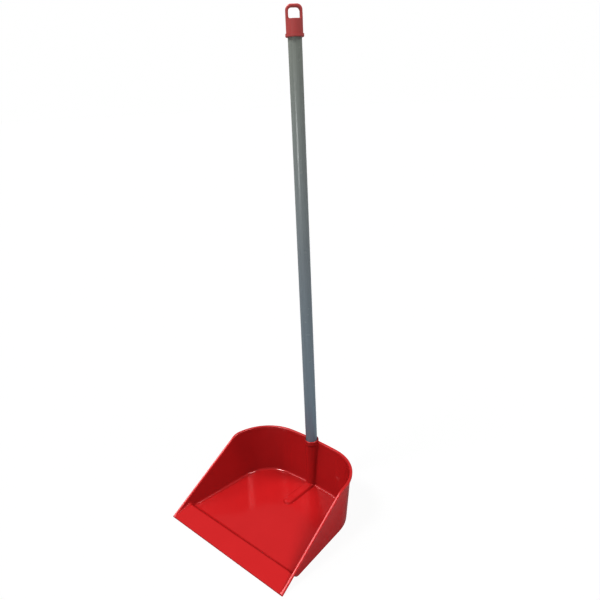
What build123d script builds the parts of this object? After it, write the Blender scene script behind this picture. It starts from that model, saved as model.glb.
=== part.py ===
"""Long-handled dustpan: a moulded pan with a handle socket in its back wall, and a plastic-sleeved
steel handle that pushes down into the socket and ends in a cap with a hanging loop.

Millimetres. +X runs across the mouth, +Y from the lip to the back wall, +Z up along the handle.
The origin is on the ground, at the middle of the object's footprint.
"""

import os
from math import radians, sqrt, tan

from build123d import *

os.makedirs("parts", exist_ok=True)

# Pan, measured on the outside of its walls at the ground
MOUTH_WIDTH = 293.0      # across the two side walls at the lip edge
PAN_REACH = 250.0        # lip edge to the middle of the back wall
SIDE_FLARE = 4.5         # degrees that each side wall opens towards the mouth
BACK_BOW = 740.0         # radius of the back wall seen from above
CORNER_R = 78.0          # radius between side and back wall
DRAFT = 5.5              # degrees that every wall leans outwards
RIM_HEIGHT = 105.3
SHOULDER_REACH = 170.8   # lip edge to where the sloping wall tops meet the level rim
SHOULDER_R = 30.0
WALL = 2.2
FLOOR = 2.4
FOOT_R = 4.0             # outer rounding between floor and walls
TRAY_R = 5.5             # inner rounding between floor and walls

# Lip and the ridge that keeps the sweepings in
LIP_EDGE = 2.0           # thickness of the sweeping edge
LIP_CHEEK = 3.0          # height of the side walls at the sweeping edge
RIDGE_REACH = 37.0       # lip edge to the crest
RIDGE_HEIGHT = 12.4      # height of the crest before it is rounded
RIDGE_FALL = 9.0         # distance in which the ridge falls back to the floor
RIDGE_R = 5.0
RIDGE_FOOT_R = 8.0       # hollow between the ridge and the floor

# Rolled edge round the top of the walls
BEAD_OUT = 3.0
BEAD_DEEP = 4.0
BEAD_BEVEL = 1.2

# Handle: a thin steel tube in a plastic sleeve
HANDLE_LENGTH = 880.0
SLEEVE_OD = 23.0
SLEEVE_WALL = 0.5
TUBE_WALL = 0.6

# Socket in the back wall that holds the handle
HANDLE_SET = 3.9         # foot of the back wall to the handle's axis
SOCKET_FIT = 0.1         # radial clearance round the sleeve
SOCKET_WALL = 1.6
SOCKET_FLOOR = 3.0
SOCKET_MOUTH = 1.4       # chamfer that leads the handle in
SEAM_R = 3.0             # rounding where the socket runs into the back of the wall
BLEND_R = 4.5            # rounding where it runs into the tray's wall and floor
COLLAR_OUT = 1.2         # how far the collar stands out from the socket
COLLAR_RISE = 4.7        # height of the collar above the rim
COLLAR_DEEP = 9.0
COLLAR_BEVEL = 0.8

# Hollow rib on the pan's floor, in front of the socket
RIB_WIDTH = 22.0
RIB_RISE = 5.0
RIB_FLANK = 60.0         # degrees that the rib's sides slope
RIB_BEVEL = 1.2          # height of the flatter slope along the rib's top edges
RIB_BEVEL_WIDTH = 2.4
RIB_REACH = 165.6        # lip edge to the rib's rounded end

# Plug in the handle's lower end
PLUG_FLANGE = 2.5
PLUG_DEPTH = 16.0

# Cap with the hanging loop
CAP_WALL = 2.3           # skirt round the handle
CAP_GRIP = 20.0          # length of handle inside the cap
CAP_ROOF = 7.2           # between the end of the handle and the hole
CAP_CROWN = 6.4          # between the end of the handle and the top of the skirt
CAP_BEAD_OUT = 1.4
CAP_BEAD_HEIGHT = 5.0
CAP_BEAD_BEVEL = 1.0
CAP_TURN = 49.0          # degrees that the loop is turned from facing the mouth
LOOP_THICK = 11.0
LOOP_INSET = 0.4         # how far the loop's sides stand back from the skirt
LOOP_TOP_R = 8.5
LOOP_BEVEL = 1.3
HOLE_SIDE = 3.6          # loop left beside the hole
HOLE_BAND = 4.4          # loop left over the hole
HOLE_HEIGHT = 16.4
HOLE_TOP_R = 6.5
HOLE_FOOT_R = 3.0

# Sizes and places worked out from those above
TUBE_OD = SLEEVE_OD - 2 * SLEEVE_WALL
TUBE_ID = TUBE_OD - 2 * TUBE_WALL
SOCKET_R = SLEEVE_OD / 2 + SOCKET_FIT
BOSS_R = SOCKET_R + SOCKET_WALL
COLLAR_OD = 2 * (BOSS_R + COLLAR_OUT)
COLLAR_TOP = RIM_HEIGHT + COLLAR_RISE
CAP_R = SLEEVE_OD / 2 + CAP_WALL
CAP_BEAD_OD = 2 * (CAP_R + CAP_BEAD_OUT)
LOOP_WIDTH = 2 * (CAP_R - LOOP_INSET)
HOLE_WIDTH = LOOP_WIDTH - 2 * HOLE_SIDE
HOLE_FOOT = CAP_GRIP + CAP_ROOF
HOLE_TOP = HOLE_FOOT + HOLE_HEIGHT
CAP_HEIGHT = HOLE_TOP + HOLE_BAND
LIP_Y = -(PAN_REACH + HANDLE_SET + max(COLLAR_OD, CAP_BEAD_OD) / 2) / 2
HANDLE_Y = LIP_Y + PAN_REACH + HANDLE_SET
TUBE_FOOT = SOCKET_FLOOR + PLUG_FLANGE
TUBE_TOP = TUBE_FOOT + HANDLE_LENGTH
CAP_FOOT = TUBE_TOP - CAP_GRIP
HANDLE_AXIS = Axis((0, HANDLE_Y, 0), (0, 0, 1))
HANDLE_PLAN = Plane((0, HANDLE_Y, 0), x_dir=(0, 1, 0))
HANDLE_SECTION = Plane.XZ.offset(-HANDLE_Y)
CAP_PLAN = Plane((0, HANDLE_Y, CAP_FOOT)).rotated((0, 0, CAP_TURN))
CAP_FRONT = Plane(CAP_PLAN.origin, x_dir=CAP_PLAN.x_dir, z_dir=-CAP_PLAN.y_dir)
PAST = 30.0              # how far cutters run past what they cut
SIDEWAYS = MOUTH_WIDTH / 2 + PAST
BEHIND = HANDLE_Y + COLLAR_OD
ON_LINE = 0.01           # how near an edge lies to a line that it follows
STEEP = 0.3              # a wall's normal rises or falls less than this
LEVEL = 0.7              # an underside's normal falls more than this


def plan(grow):
    """Outline of the pan on the ground, running on past the lip, grown outwards by grow."""
    front = LIP_Y - PAST
    back = LIP_Y + PAN_REACH
    half_front = MOUTH_WIDTH / 2 + PAST * tan(radians(SIDE_FLARE))
    half_back = MOUTH_WIDTH / 2 - PAN_REACH * tan(radians(SIDE_FLARE))
    ends = back - BACK_BOW + sqrt(BACK_BOW**2 - half_back**2)
    with BuildSketch() as outline:
        with BuildLine():
            Polyline((-half_back, ends), (-half_front, front), (half_front, front), (half_back, ends))
            ThreePointArc((half_back, ends), (0, back), (-half_back, ends))
        make_face()
        fillet(outline.vertices().group_by(Axis.Y)[-1], CORNER_R)
        offset(amount=grow, kind=Kind.INTERSECTION)
    return outline.sketch


def drafted(grow):
    """Block inside the leaning walls, from below the ground, with the walls grown outwards by grow."""
    with BuildPart() as block:
        with BuildSketch(Plane.XY.offset(-PAST)):
            add(plan(grow))
        extrude(amount=RIM_HEIGHT + 2 * PAST)
        draft(block.faces().filter_by(Axis.Z, reverse=True), Plane.XY, -DRAFT)
    return block.part


def rim_corners(drop):
    """Top of the walls in side view, as (y, z): past the lip, shoulder, behind; lowered by drop."""
    slope = (RIM_HEIGHT - LIP_CHEEK) / SHOULDER_REACH
    return (
        (LIP_Y - PAST, LIP_CHEEK - PAST * slope - drop),
        (LIP_Y + SHOULDER_REACH, RIM_HEIGHT - drop),
        (BEHIND, RIM_HEIGHT - drop),
    )


def under_rim(drop):
    """Side view from the ground to the top of the walls lowered by drop, from the lip back."""
    with BuildSketch(Plane.YZ) as side:
        with BuildLine():
            top = FilletPolyline(*rim_corners(drop), radius=SHOULDER_R)
            Polyline(top @ 1, (BEHIND, -2 * PAST), (LIP_Y - PAST, -2 * PAST), top @ 0)
        make_face()
        with Locations((LIP_Y, 0)):
            Rectangle(BEHIND - LIP_Y, RIM_HEIGHT, align=(Align.MIN, Align.MIN), mode=Mode.INTERSECT)
    return side.sketch


def under_deck(thick):
    """Side view of all that lies below the lip, ridge and floor, at thick below their top."""
    rise = (RIDGE_HEIGHT - LIP_EDGE) / RIDGE_REACH
    fall = (RIDGE_HEIGHT - FLOOR) / RIDGE_FALL
    front_drop = thick * sqrt(1 + rise**2)
    back_drop = thick * sqrt(1 + fall**2)
    crest = RIDGE_REACH + (front_drop - back_drop) / (rise + fall)
    valley = RIDGE_REACH + RIDGE_FALL + (thick - back_drop) / fall
    crest_corner = (LIP_Y + crest, LIP_EDGE + rise * crest - front_drop)
    valley_corner = (LIP_Y + valley, FLOOR - thick)
    with BuildSketch(Plane.YZ) as side:
        with BuildLine():
            Polyline(
                (LIP_Y - 2 * PAST, LIP_EDGE - rise * 2 * PAST - front_drop),
                crest_corner,
                valley_corner,
                (BEHIND, FLOOR - thick),
                (BEHIND, -2 * PAST),
                (LIP_Y - 2 * PAST, -2 * PAST),
                close=True,
            )
        make_face()
        fillet(side.vertices().sort_by_distance(crest_corner)[0], RIDGE_R - thick)
        fillet(side.vertices().sort_by_distance(valley_corner)[0], RIDGE_FOOT_R + thick)
    return side.sketch


def foot_edges(block):
    """Edges where the walls of a block meet its underside."""
    walls = block.faces().filter_by(
        lambda face: abs(face.normal_at().Z) < STEEP and face.normal_at().Y > -LEVEL
    )
    sole = block.faces().filter_by(lambda face: face.normal_at().Z < -LEVEL)
    return sole.edges() & walls.edges()


def floor_rib(drop, sink, end_y):
    """Flat-topped rib with a round front end, lowered by drop, its sides sunk in the floor."""
    base = FLOOR - drop
    top = base + RIB_RISE
    half_foot = RIB_WIDTH / 2 - drop * tan(radians(RIB_FLANK / 2))
    half_top = half_foot - (RIB_RISE - RIB_BEVEL) / tan(radians(RIB_FLANK))
    dome_y = LIP_Y + RIB_REACH + RIB_WIDTH / 2
    with BuildPart() as rib:
        with BuildSketch(Plane.XZ.offset(-dome_y)) as half_section:
            with BuildLine():
                Polyline(
                    (0, base - sink),
                    (half_foot, base - sink),
                    (half_foot, base),
                    (half_top, top - RIB_BEVEL),
                    (half_top - RIB_BEVEL_WIDTH, top),
                    (0, top),
                    close=True,
                )
            make_face()
        extrude(amount=dome_y - end_y)
        mirror(about=Plane.YZ)
        revolve(half_section.sketch, axis=Axis((0, dome_y, 0), (0, 0, 1)))
    return rib.part


# The space that the pan encloses, rounded where the walls meet the lip, ridge and floor
with BuildPart() as tray:
    add(drafted(-WALL))
    extrude(under_deck(0), amount=SIDEWAYS, both=True, mode=Mode.SUBTRACT)
    fillet(foot_edges(tray), TRAY_R)

# The same space with the front half of the socket standing in it
with BuildPart() as hollow:
    add(tray.part)
    with BuildSketch(HANDLE_PLAN):
        Circle(BOSS_R)
    extrude(amount=RIM_HEIGHT + 2 * PAST, mode=Mode.SUBTRACT)
    fillet(hollow.edges(Select.NEW).filter_by_position(Axis.Z, 0, RIM_HEIGHT), BLEND_R)

# Top of the walls with its rolled edge
with BuildPart() as bead:
    add(drafted(BEAD_OUT))
    extrude(under_rim(0), amount=SIDEWAYS, both=True, mode=Mode.INTERSECT)
    extrude(under_rim(BEAD_DEEP), amount=SIDEWAYS, both=True, mode=Mode.SUBTRACT)
    add(tray.part, mode=Mode.SUBTRACT)
    with BuildLine(Plane.YZ) as rim:
        FilletPolyline(*rim_corners(0), radius=SHOULDER_R)
    rim_edges = bead.edges().filter_by(
        lambda edge: rim.wire().distance_to(Vertex(0, (edge @ 0.5).Y, (edge @ 0.5).Z)) < ON_LINE
    )
    chamfer(rim_edges.filter_by(Axis.X, reverse=True), BEAD_BEVEL)

# Pan: walls, lip, ridge and floor with the socket in the back wall and the rib in front of it
with BuildPart() as pan:
    add(drafted(0))
    with BuildSketch(HANDLE_PLAN.offset(-PAST)):
        Circle(BOSS_R)
    extrude(amount=RIM_HEIGHT + 2 * PAST)
    fillet(pan.edges(Select.NEW).filter_by_position(Axis.Z, 0, RIM_HEIGHT), SEAM_R)
    extrude(under_deck(FLOOR), amount=SIDEWAYS, both=True, mode=Mode.SUBTRACT)
    fillet(foot_edges(pan), FOOT_R)
    add(hollow.part, mode=Mode.SUBTRACT)
    extrude(under_rim(BEAD_DEEP), amount=SIDEWAYS, both=True, mode=Mode.INTERSECT)
    add(bead.part)
    add(floor_rib(0, FLOOR / 2, HANDLE_Y - SOCKET_R))
    add(floor_rib(FLOOR, PAST, HANDLE_Y - BOSS_R), mode=Mode.SUBTRACT)
    with BuildSketch(HANDLE_SECTION):
        with BuildLine():
            Polyline(
                (0, COLLAR_TOP - COLLAR_DEEP - COLLAR_OUT - SOCKET_WALL),
                (SOCKET_R, COLLAR_TOP - COLLAR_DEEP - COLLAR_OUT - SOCKET_WALL),
                (COLLAR_OD / 2, COLLAR_TOP - COLLAR_DEEP),
                (COLLAR_OD / 2, COLLAR_TOP - COLLAR_BEVEL),
                (COLLAR_OD / 2 - COLLAR_BEVEL, COLLAR_TOP),
                (0, COLLAR_TOP),
                close=True,
            )
        make_face()
    revolve(axis=HANDLE_AXIS)
    with BuildSketch(HANDLE_SECTION):
        with BuildLine():
            Polyline(
                (0, SOCKET_FLOOR),
                (SOCKET_R, SOCKET_FLOOR),
                (SOCKET_R, COLLAR_TOP - SOCKET_MOUTH),
                (SOCKET_R + SOCKET_MOUTH, COLLAR_TOP),
                (0, COLLAR_TOP),
                close=True,
            )
        make_face()
    revolve(axis=HANDLE_AXIS, mode=Mode.SUBTRACT)
pan.part.label = "pan"
export_step(pan.part, "parts/pan.step")

# Steel tube of the handle
with BuildPart() as handle_tube:
    with BuildSketch(HANDLE_PLAN.offset(TUBE_FOOT)):
        Circle(TUBE_OD / 2)
        Circle(TUBE_ID / 2, mode=Mode.SUBTRACT)
    extrude(amount=HANDLE_LENGTH)
handle_tube.part.label = "handle_tube"
export_step(handle_tube.part, "parts/handle_tube.step")

# Grey plastic sleeve shrunk onto the tube
with BuildPart() as handle_sleeve:
    with BuildSketch(HANDLE_PLAN.offset(TUBE_FOOT)):
        Circle(SLEEVE_OD / 2)
        Circle(TUBE_OD / 2, mode=Mode.SUBTRACT)
    extrude(amount=HANDLE_LENGTH)
handle_sleeve.part.label = "handle_sleeve"
export_step(handle_sleeve.part, "parts/handle_sleeve.step")

# Plug pressed into the lower end, its flange resting on the socket's floor
with BuildPart() as foot_plug:
    with BuildSketch(HANDLE_SECTION):
        with BuildLine():
            Polyline(
                (0, SOCKET_FLOOR),
                (SLEEVE_OD / 2, SOCKET_FLOOR),
                (SLEEVE_OD / 2, TUBE_FOOT),
                (TUBE_ID / 2, TUBE_FOOT),
                (TUBE_ID / 2, TUBE_FOOT + PLUG_DEPTH),
                (0, TUBE_FOOT + PLUG_DEPTH),
                close=True,
            )
        make_face()
    revolve(axis=HANDLE_AXIS)
foot_plug.part.label = "foot_plug"
export_step(foot_plug.part, "parts/foot_plug.step")

# Flat loop of the cap, with the hole that it hangs by
with BuildPart() as loop:
    with BuildSketch(CAP_FRONT) as loop_face:
        with Locations((0, CAP_GRIP)):
            Rectangle(LOOP_WIDTH, CAP_HEIGHT - CAP_GRIP, align=(Align.CENTER, Align.MIN))
        fillet(loop_face.vertices().group_by(Axis.Y)[-1], LOOP_TOP_R)
        with BuildSketch(mode=Mode.SUBTRACT) as hole:
            with Locations((0, HOLE_FOOT)):
                Rectangle(HOLE_WIDTH, HOLE_HEIGHT, align=(Align.CENTER, Align.MIN))
            fillet(hole.vertices().group_by(Axis.Y)[-1], HOLE_TOP_R)
            fillet(hole.vertices().group_by(Axis.Y)[0], HOLE_FOOT_R)
    extrude(amount=LOOP_THICK / 2, both=True)
    outlines = loop.faces().filter_by(CAP_FRONT).edges()
    chamfer(outlines - outlines.group_by(Axis.Z)[0], LOOP_BEVEL)

# Cap: a closed skirt over the handle, with the loop standing on it
with BuildPart() as hanging_cap:
    with BuildSketch(CAP_FRONT) as skirt:
        with BuildLine():
            Polyline(
                (0, 0),
                (CAP_BEAD_OD / 2 - CAP_BEAD_BEVEL, 0),
                (CAP_BEAD_OD / 2, CAP_BEAD_BEVEL),
                (CAP_BEAD_OD / 2, CAP_BEAD_HEIGHT),
                (CAP_R, CAP_BEAD_HEIGHT),
                (CAP_R, CAP_GRIP + CAP_CROWN),
                (0, CAP_GRIP + CAP_CROWN),
                close=True,
            )
        make_face()
    revolve(axis=HANDLE_AXIS)
    add(loop.part)
    with BuildSketch(CAP_PLAN):
        Circle(SLEEVE_OD / 2)
    extrude(amount=CAP_GRIP, mode=Mode.SUBTRACT)
hanging_cap.part.label = "hanging_cap"
export_step(hanging_cap.part, "parts/hanging_cap.step")
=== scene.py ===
"""Looks of a long-handled dustpan: a glossy red moulded pan, a grey sleeved handle standing in its
socket and a red cap with a hanging loop. Metres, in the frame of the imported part.
"""

from math import radians

import bpy
from mathutils import Matrix, Vector

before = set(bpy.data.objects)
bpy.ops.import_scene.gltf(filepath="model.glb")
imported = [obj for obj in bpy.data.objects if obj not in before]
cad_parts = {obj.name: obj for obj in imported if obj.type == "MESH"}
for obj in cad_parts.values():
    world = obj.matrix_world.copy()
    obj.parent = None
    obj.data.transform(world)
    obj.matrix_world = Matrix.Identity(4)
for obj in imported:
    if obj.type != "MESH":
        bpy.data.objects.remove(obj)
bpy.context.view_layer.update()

# Camera, fitted to the photograph's 600 pixel frame; angles in degrees
IMAGE_SIDE = 600.0
FOCAL_PIXELS = 561.3
SENSOR_MM = 36.0
CAMERA_PLACE = Vector((0.6665, -0.6202, 0.7720))
CAMERA_TURN = 42.646             # round from facing the mouth
CAMERA_DIP = 19.719              # below the horizon
CAMERA_ROLL = -2.582
DOWN_TO_LEVEL = 90.0             # an unturned camera looks straight down

# Studio; angles in degrees
FLOOR_SIDE = 80.0
SOFTBOXES = {                    # far off, each in one direction from the pan
    "front_softbox": {"direction": Vector((-0.17, -0.50, 0.85)), "span": 15.0, "strength": 2.58},
    "side_softbox": {"direction": Vector((0.55, 0.16, 0.82)), "span": 20.0, "strength": 1.97},
    "left_softbox": {"direction": Vector((-0.57, -0.335, 0.75)), "span": 19.0, "strength": 0.62},
}
CARDS = {                        # close by, each aimed at one point
    "low_card": {
        "place": Vector((0.50, 0.02, 0.05)), "aim": Vector((0.14, -0.04, 0.05)),
        "width": 0.4, "height": 0.1, "watts": 0.56, "spread": 180.0, "mirrored": False,
    },
    "window_card": {
        "place": Vector((0.42, -1.84, 0.54)), "aim": Vector((0.0, 0.12, 0.72)),
        "width": 0.8, "height": 0.22, "watts": 0.75, "spread": 50.0, "mirrored": True,
    },
}
SURROUND_WHITE = "#FFFFFF"
FILL_STRENGTH = 0.43
BACKDROP_STRENGTH = 1.0
PAPER_GLOW = 0.95                # the paper is just white to the camera, with a trace of shadow
PAPER_SEEN = "#303030"
PAPER_BOUNCE = "#9C9C9C"
TONE_GAMMA = 0.667               # the photograph's steep tone curve

# Finishes; marks in millimetres, octaves of finer marks within them, relief and heights in metres.
# Grain, lines and streaks are a few tenths of a millimetre on the real thing, too fine for the render,
# and are drawn several times as coarse so that they show.
POLYPROPYLENE_IOR = 1.49
PAN_REDS = ("#A92C2E", "#AF3133")
PAN_ROUGHNESS = (0.12, 0.17)
PAN_RIM_DULLING = 0.24           # roughness added on the crest of the rim
RIM_CREST = (0.0990, 0.1020)     # heights between which the polish gives out
CAP_REDS = ("#B15C5B", "#B86461")
CAP_ROUGHNESS = (0.34, 0.44)
CAP_RIM_DULLING = 0.0
PIGMENT_CLOUD = 70.0
PIGMENT_CLOUD_OCTAVES = 3
HAZE_PATCH = 9.0
HAZE_PATCH_OCTAVES = 4
WALL_WAVE = 16.0
WALL_WAVE_OCTAVES = 2
WALL_WAVE_DEPTH = 0.0002
WALL_WAVE_STRENGTH = 0.25
MOULD_GRAIN = 1.6
MOULD_GRAIN_OCTAVES = 2
MOULD_GRAIN_DEPTH = 0.00006
MOULD_GRAIN_STRENGTH = 0.1

SLEEVE_IOR = 1.5
# Painted shade along the handle: the sleeve's colour is darker and bluer at the foot and lighter at the top
SLEEVE_FOOT_PAINTED_SHADE = "#798A95"
SLEEVE_MIDDLE_PAINTED_SHADE = "#858C90"
SLEEVE_TOP_PAINTED_LIGHT = "#91958F"
SLEEVE_PAINTED_SHADE_SPAN = (0.10, 0.88)       # heights where the painted shade at the foot and the painted light at the top are full
SLEEVE_PAINTED_SHADE_MIDDLE = 0.5              # share of that span
SLEEVE_ROUGHNESS = (0.22, 0.30)
DIE_LINE = 1.4
DIE_LINE_OCTAVES = 3
DIE_LINE_DEPTH = 0.00008
DIE_LINE_STRENGTH = 0.2
DIE_LINE_SHADE = (0.88, 1.12)    # darkest and palest line, as shares of the painted shading under it
DIE_STRETCH = 0.012              # lines run about eighty times as long as they are wide

STEEL_GREYS = ("#8B8C8E", "#B4B5B6")
STEEL_ROUGHNESS = (0.28, 0.48)
ROLL_STREAK = 0.8
ROLL_STREAK_OCTAVES = 4
ROLL_STRETCH = 0.02              # streaks run about fifty times as long as they are wide

POLYETHYLENE_IOR = 1.51
PLUG_BLACKS = ("#161616", "#242424")
PLUG_ROUGHNESS = 0.55
SPARK_GRAIN = 0.6
SPARK_GRAIN_OCTAVES = 3
SPARK_GRAIN_DEPTH = 0.00008
SPARK_GRAIN_STRENGTH = 0.3

# Sockets of a Mix node that mixes colours: their names recur on it, so they go by number
MIX_SHARE = 0
MIX_FIRST = 6
MIX_SECOND = 7
MIX_COLOUR = 2


def linear(hex_colour):
    """Linear red, green, blue and alpha of an sRGB hex colour, by the sRGB standard's own numbers."""
    shares = [int(hex_colour[i:i + 2], 16) / 255 for i in (1, 3, 5)]
    return [s / 12.92 if s <= 0.04045 else ((s + 0.055) / 1.055) ** 2.4 for s in shares] + [1.0]


def per_metre(millimetres):
    """Texture scale of a pattern whose marks are that many millimetres apart."""
    return 1000 / millimetres


def add_node(tree, kind, inputs, **settings):
    """A node with its settings. Each input, by name or number, gets a value or another node's output."""
    made = tree.nodes.new(kind)
    for name, value in settings.items():
        setattr(made, name, value)
    for name, value in inputs.items():
        if isinstance(value, bpy.types.NodeSocket):
            tree.links.new(value, made.inputs[name])
        else:
            made.inputs[name].default_value = value
    return made


def new_material(name):
    """An empty node material and its tree."""
    material = bpy.data.materials.new(name)
    material.use_nodes = True
    material.node_tree.nodes.clear()
    return material, material.node_tree


def moulded_polypropylene(name, reds, roughness, rim_dulling):
    """Polypropylene from a polished mould: a clean deep colour with faint clouds where the pigment
    flowed, a gloss that varies a little and dulls along the level rim where the mould halves part,
    the shallow waviness of cooled walls and a trace of the mould's grain."""
    material, tree = new_material(name)
    place = add_node(tree, "ShaderNodeTexCoord", {}).outputs["Object"]
    clouds = add_node(tree, "ShaderNodeTexNoise",
                      {"Vector": place, "Scale": per_metre(PIGMENT_CLOUD), "Detail": PIGMENT_CLOUD_OCTAVES})
    deep, pale = reds
    colour = add_node(tree, "ShaderNodeMix",
                      {MIX_SHARE: clouds.outputs["Fac"], MIX_FIRST: linear(deep), MIX_SECOND: linear(pale)},
                      data_type="RGBA")
    patches = add_node(tree, "ShaderNodeTexNoise",
                       {"Vector": place, "Scale": per_metre(HAZE_PATCH), "Detail": HAZE_PATCH_OCTAVES})
    haze = add_node(tree, "ShaderNodeMapRange",
                    {"Value": patches.outputs["Fac"], "To Min": roughness[0], "To Max": roughness[1]})
    height = add_node(tree, "ShaderNodeSeparateXYZ", {"Vector": place}).outputs["Z"]
    crest = add_node(tree, "ShaderNodeMapRange",
                     {"Value": height, "From Min": RIM_CREST[0], "From Max": RIM_CREST[1],
                      "To Max": rim_dulling})
    gloss = add_node(tree, "ShaderNodeMath",
                     {0: haze.outputs["Result"], 1: crest.outputs["Result"]}, operation="ADD")
    swells = add_node(tree, "ShaderNodeTexNoise",
                      {"Vector": place, "Scale": per_metre(WALL_WAVE), "Detail": WALL_WAVE_OCTAVES})
    waves = add_node(tree, "ShaderNodeBump",
                     {"Height": swells.outputs["Fac"], "Strength": WALL_WAVE_STRENGTH,
                      "Distance": WALL_WAVE_DEPTH})
    pores = add_node(tree, "ShaderNodeTexNoise",
                     {"Vector": place, "Scale": per_metre(MOULD_GRAIN), "Detail": MOULD_GRAIN_OCTAVES})
    grain = add_node(tree, "ShaderNodeBump",
                     {"Height": pores.outputs["Fac"], "Strength": MOULD_GRAIN_STRENGTH,
                      "Distance": MOULD_GRAIN_DEPTH, "Normal": waves.outputs["Normal"]})
    shader = add_node(tree, "ShaderNodeBsdfPrincipled",
                      {"Base Color": colour.outputs[MIX_COLOUR], "Roughness": gloss.outputs["Value"],
                       "IOR": POLYPROPYLENE_IOR, "Normal": grain.outputs["Normal"]})
    add_node(tree, "ShaderNodeOutputMaterial", {"Surface": shader.outputs["BSDF"]})
    return material


def extruded_sleeve():
    """Thin grey sleeve drawn over the tube: satin, with faint lines along its length from the die, and
    painted shade that makes it darker and bluer at the pan and lighter and warmer at the grip."""
    material, tree = new_material("extruded_sleeve")
    place = add_node(tree, "ShaderNodeTexCoord", {}).outputs["Object"]
    height = add_node(tree, "ShaderNodeSeparateXYZ", {"Vector": place}).outputs["Z"]
    shade_height_share = add_node(tree, "ShaderNodeMapRange",
                     {"Value": height, "From Min": SLEEVE_PAINTED_SHADE_SPAN[0], "From Max": SLEEVE_PAINTED_SHADE_SPAN[1]})
    # Painted shade by height: darker and bluer at the foot, lighter at the top
    painted_shading = add_node(tree, "ShaderNodeValToRGB", {"Fac": shade_height_share.outputs["Result"]})
    painted_shading.color_ramp.elements[0].color = linear(SLEEVE_FOOT_PAINTED_SHADE)
    painted_shading.color_ramp.elements[1].color = linear(SLEEVE_TOP_PAINTED_LIGHT)
    middle = painted_shading.color_ramp.elements.new(SLEEVE_PAINTED_SHADE_MIDDLE)
    middle.color = linear(SLEEVE_MIDDLE_PAINTED_SHADE)
    drawn = add_node(tree, "ShaderNodeMapping", {"Vector": place, "Scale": (1, 1, DIE_STRETCH)})
    lines = add_node(tree, "ShaderNodeTexNoise",
                     {"Vector": drawn.outputs["Vector"], "Scale": per_metre(DIE_LINE),
                      "Detail": DIE_LINE_OCTAVES})
    shade = add_node(tree, "ShaderNodeMapRange",
                     {"Value": lines.outputs["Fac"], "To Min": DIE_LINE_SHADE[0],
                      "To Max": DIE_LINE_SHADE[1]})
    colour = add_node(tree, "ShaderNodeMix",
                      {MIX_SHARE: 1.0, MIX_FIRST: painted_shading.outputs["Color"],
                       MIX_SECOND: shade.outputs["Result"]},
                      data_type="RGBA", blend_type="MULTIPLY")
    patches = add_node(tree, "ShaderNodeTexNoise",
                       {"Vector": place, "Scale": per_metre(HAZE_PATCH), "Detail": HAZE_PATCH_OCTAVES})
    haze = add_node(tree, "ShaderNodeMapRange",
                    {"Value": patches.outputs["Fac"], "To Min": SLEEVE_ROUGHNESS[0],
                     "To Max": SLEEVE_ROUGHNESS[1]})
    ridges = add_node(tree, "ShaderNodeBump",
                      {"Height": lines.outputs["Fac"], "Strength": DIE_LINE_STRENGTH,
                       "Distance": DIE_LINE_DEPTH})
    shader = add_node(tree, "ShaderNodeBsdfPrincipled",
                      {"Base Color": colour.outputs[MIX_COLOUR], "Roughness": haze.outputs["Result"],
                       "IOR": SLEEVE_IOR, "Normal": ridges.outputs["Normal"]})
    add_node(tree, "ShaderNodeOutputMaterial", {"Surface": shader.outputs["BSDF"]})
    return material


def rolled_steel():
    """Bare rolled steel inside the sleeve: grey metal streaked along the tube by the rolls."""
    material, tree = new_material("rolled_steel")
    place = add_node(tree, "ShaderNodeTexCoord", {}).outputs["Object"]
    drawn = add_node(tree, "ShaderNodeMapping", {"Vector": place, "Scale": (1, 1, ROLL_STRETCH)})
    streaks = add_node(tree, "ShaderNodeTexNoise",
                       {"Vector": drawn.outputs["Vector"], "Scale": per_metre(ROLL_STREAK),
                        "Detail": ROLL_STREAK_OCTAVES})
    dark, pale = STEEL_GREYS
    colour = add_node(tree, "ShaderNodeMix",
                      {MIX_SHARE: streaks.outputs["Fac"], MIX_FIRST: linear(dark), MIX_SECOND: linear(pale)},
                      data_type="RGBA")
    haze = add_node(tree, "ShaderNodeMapRange",
                    {"Value": streaks.outputs["Fac"], "To Min": STEEL_ROUGHNESS[0],
                     "To Max": STEEL_ROUGHNESS[1]})
    shader = add_node(tree, "ShaderNodeBsdfPrincipled",
                      {"Base Color": colour.outputs[MIX_COLOUR], "Roughness": haze.outputs["Result"],
                       "Metallic": 1.0})
    add_node(tree, "ShaderNodeOutputMaterial", {"Surface": shader.outputs["BSDF"]})
    return material


def polyethylene_plug():
    """Soft black polyethylene: nearly matt, with a sparked grain from its mould."""
    material, tree = new_material("polyethylene_plug")
    place = add_node(tree, "ShaderNodeTexCoord", {}).outputs["Object"]
    grain = add_node(tree, "ShaderNodeTexNoise",
                     {"Vector": place, "Scale": per_metre(SPARK_GRAIN), "Detail": SPARK_GRAIN_OCTAVES})
    dark, pale = PLUG_BLACKS
    colour = add_node(tree, "ShaderNodeMix",
                      {MIX_SHARE: grain.outputs["Fac"], MIX_FIRST: linear(dark), MIX_SECOND: linear(pale)},
                      data_type="RGBA")
    bump = add_node(tree, "ShaderNodeBump",
                    {"Height": grain.outputs["Fac"], "Strength": SPARK_GRAIN_STRENGTH,
                     "Distance": SPARK_GRAIN_DEPTH})
    shader = add_node(tree, "ShaderNodeBsdfPrincipled",
                      {"Base Color": colour.outputs[MIX_COLOUR], "Roughness": PLUG_ROUGHNESS,
                       "IOR": POLYETHYLENE_IOR, "Normal": bump.outputs["Normal"]})
    add_node(tree, "ShaderNodeOutputMaterial", {"Surface": shader.outputs["BSDF"]})
    return material


def dress(node, material):
    """Gives a CAD node its finish."""
    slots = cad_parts[node].data.materials
    slots.clear()
    slots.append(material)


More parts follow.
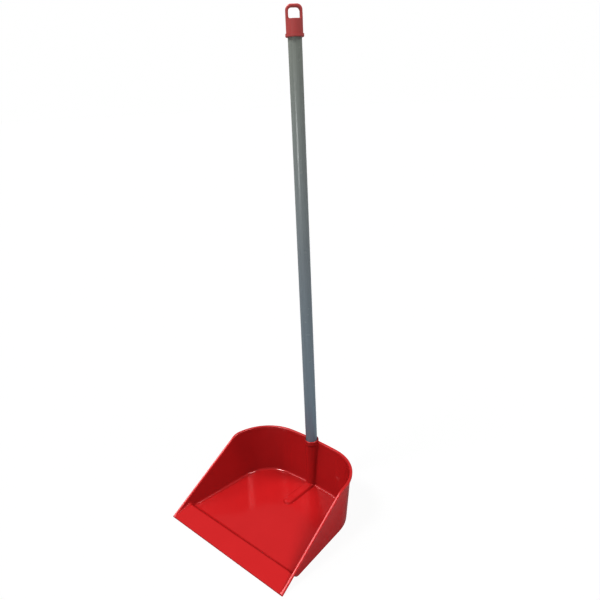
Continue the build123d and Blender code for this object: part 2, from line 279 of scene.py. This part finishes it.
def lay_paper():
    """White paper under the pan, which throws back less light than it seems to."""
    bpy.ops.mesh.primitive_plane_add(size=FLOOR_SIDE)
    floor = bpy.context.object
    floor.name = "studio_floor"
    material, tree = new_material("studio_paper")
    seen = add_node(tree, "ShaderNodeLightPath", {}).outputs["Is Camera Ray"]
    tone = add_node(tree, "ShaderNodeMix",
                    {MIX_SHARE: seen, MIX_FIRST: linear(PAPER_BOUNCE), MIX_SECOND: linear(PAPER_SEEN)},
                    data_type="RGBA")
    paper = add_node(tree, "ShaderNodeBsdfDiffuse", {"Color": tone.outputs[MIX_COLOUR]})
    glow = add_node(tree, "ShaderNodeMath", {0: seen, 1: PAPER_GLOW}, operation="MULTIPLY")
    shine = add_node(tree, "ShaderNodeEmission", {"Strength": glow.outputs["Value"]})
    both = add_node(tree, "ShaderNodeAddShader", {0: paper.outputs["BSDF"], 1: shine.outputs["Emission"]})
    add_node(tree, "ShaderNodeOutputMaterial", {"Surface": both.outputs["Shader"]})
    floor.data.materials.append(material)


def hang_lights():
    """Three softboxes far off, a low card for the outer wall and a window for the handle's gleam."""
    for name, box in SOFTBOXES.items():
        softbox = bpy.data.objects.new(name, bpy.data.lights.new(name, "SUN"))
        softbox.data.energy = box["strength"]
        softbox.data.angle = radians(box["span"])
        softbox.rotation_euler = (-box["direction"]).to_track_quat("-Z", "Y").to_euler()
        bpy.context.collection.objects.link(softbox)
    for name, sheet in CARDS.items():
        card = bpy.data.objects.new(name, bpy.data.lights.new(name, "AREA"))
        card.data.shape = "RECTANGLE"
        card.data.size = sheet["width"]
        card.data.size_y = sheet["height"]
        card.data.energy = sheet["watts"]
        card.data.spread = radians(sheet["spread"])
        card.location = sheet["place"]
        card.rotation_euler = (sheet["aim"] - sheet["place"]).to_track_quat("-Z", "Y").to_euler()
        card.visible_camera = False
        card.visible_glossy = sheet["mirrored"]
        bpy.context.collection.objects.link(card)


def surround():
    """An even white surround that fills the shadows, and the photograph's tone."""
    world = bpy.data.worlds.new("surround")
    world.use_nodes = True
    tree = world.node_tree
    tree.nodes.clear()
    seen = add_node(tree, "ShaderNodeLightPath", {}).outputs["Is Camera Ray"]
    white = linear(SURROUND_WHITE)
    fill = add_node(tree, "ShaderNodeBackground", {"Color": white, "Strength": FILL_STRENGTH})
    backdrop = add_node(tree, "ShaderNodeBackground", {"Color": white, "Strength": BACKDROP_STRENGTH})
    light = add_node(tree, "ShaderNodeMixShader",
                     {0: seen, 1: fill.outputs["Background"], 2: backdrop.outputs["Background"]})
    add_node(tree, "ShaderNodeOutputWorld", {"Surface": light.outputs["Shader"]})
    bpy.context.scene.world = world
    bpy.context.scene.view_settings.view_transform = "Standard"
    bpy.context.scene.view_settings.gamma = TONE_GAMMA


def turned(degrees, axis):
    """Matrix that turns by so many degrees about an axis of the frame."""
    return Matrix.Rotation(radians(degrees), 4, axis)


def set_camera():
    """Camera where the photograph was taken from."""
    camera = bpy.data.objects.new("camera", bpy.data.cameras.new("camera"))
    camera.data.sensor_width = SENSOR_MM
    camera.data.lens = SENSOR_MM * FOCAL_PIXELS / IMAGE_SIDE
    camera.matrix_world = (
        Matrix.Translation(CAMERA_PLACE)
        @ turned(CAMERA_TURN, "Z")
        @ turned(DOWN_TO_LEVEL - CAMERA_DIP, "X")
        @ turned(CAMERA_ROLL, "Z")
    )
    bpy.context.collection.objects.link(camera)
    bpy.context.scene.camera = camera


dress("pan", moulded_polypropylene("moulded_polypropylene", PAN_REDS, PAN_ROUGHNESS, PAN_RIM_DULLING))
dress("hanging_cap", moulded_polypropylene("cap_polypropylene", CAP_REDS, CAP_ROUGHNESS, CAP_RIM_DULLING))
dress("handle_sleeve", extruded_sleeve())
dress("handle_tube", rolled_steel())
dress("foot_plug", polyethylene_plug())
lay_paper()
hang_lights()
surround()
set_camera()
